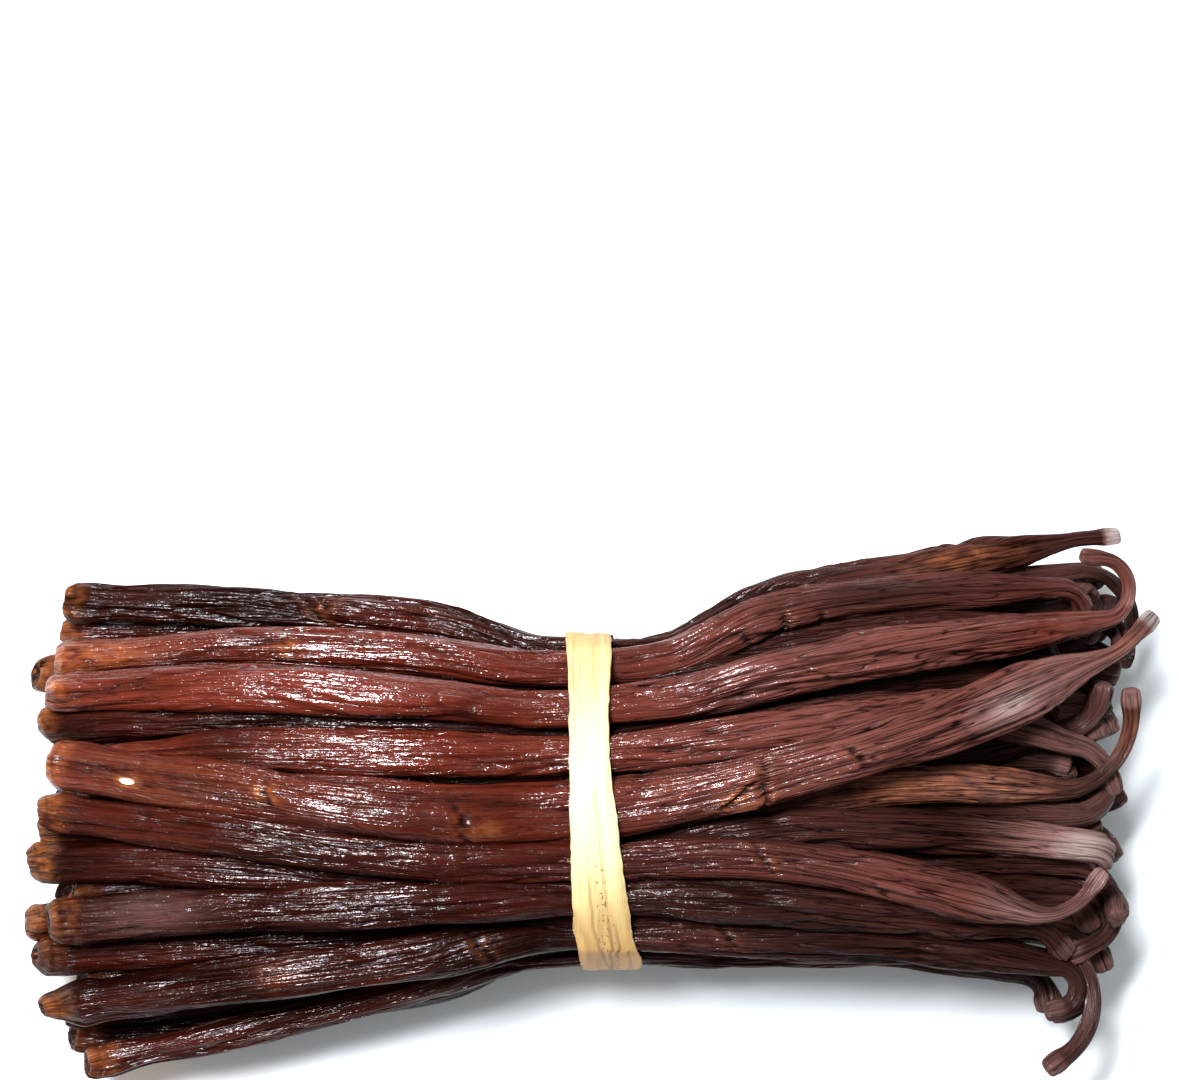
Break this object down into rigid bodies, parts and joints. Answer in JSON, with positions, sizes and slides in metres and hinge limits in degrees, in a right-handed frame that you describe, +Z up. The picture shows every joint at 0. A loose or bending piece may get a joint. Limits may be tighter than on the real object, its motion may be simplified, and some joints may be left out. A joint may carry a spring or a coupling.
{
  "type": "bundle of vanilla pods",
  "caption": "Cured vanilla pods laid side by side, held at the waist by a flat raffia tie, blunt ends together on one side and hooked stalks on the other.",
  "frame": {"origin": "middle of the box around the bundle, at the height of the table it lies on", "axes": "+X along the pods towards their hooked stalk ends, +Y towards the back of the bundle, +Z up"},
  "size_m": [0.1808, 0.0896, 0.0401],
  "materials": {
    "pod_skin": "oily dark brown skin with fine lengthwise wrinkles and a waxy gloss",
    "raffia": "dry pale straw with lengthwise fibres"
  },
  "bodies": {
    "root": {"pods": "pod_skin", "tie": "raffia"}
  },
  "joints": []
}
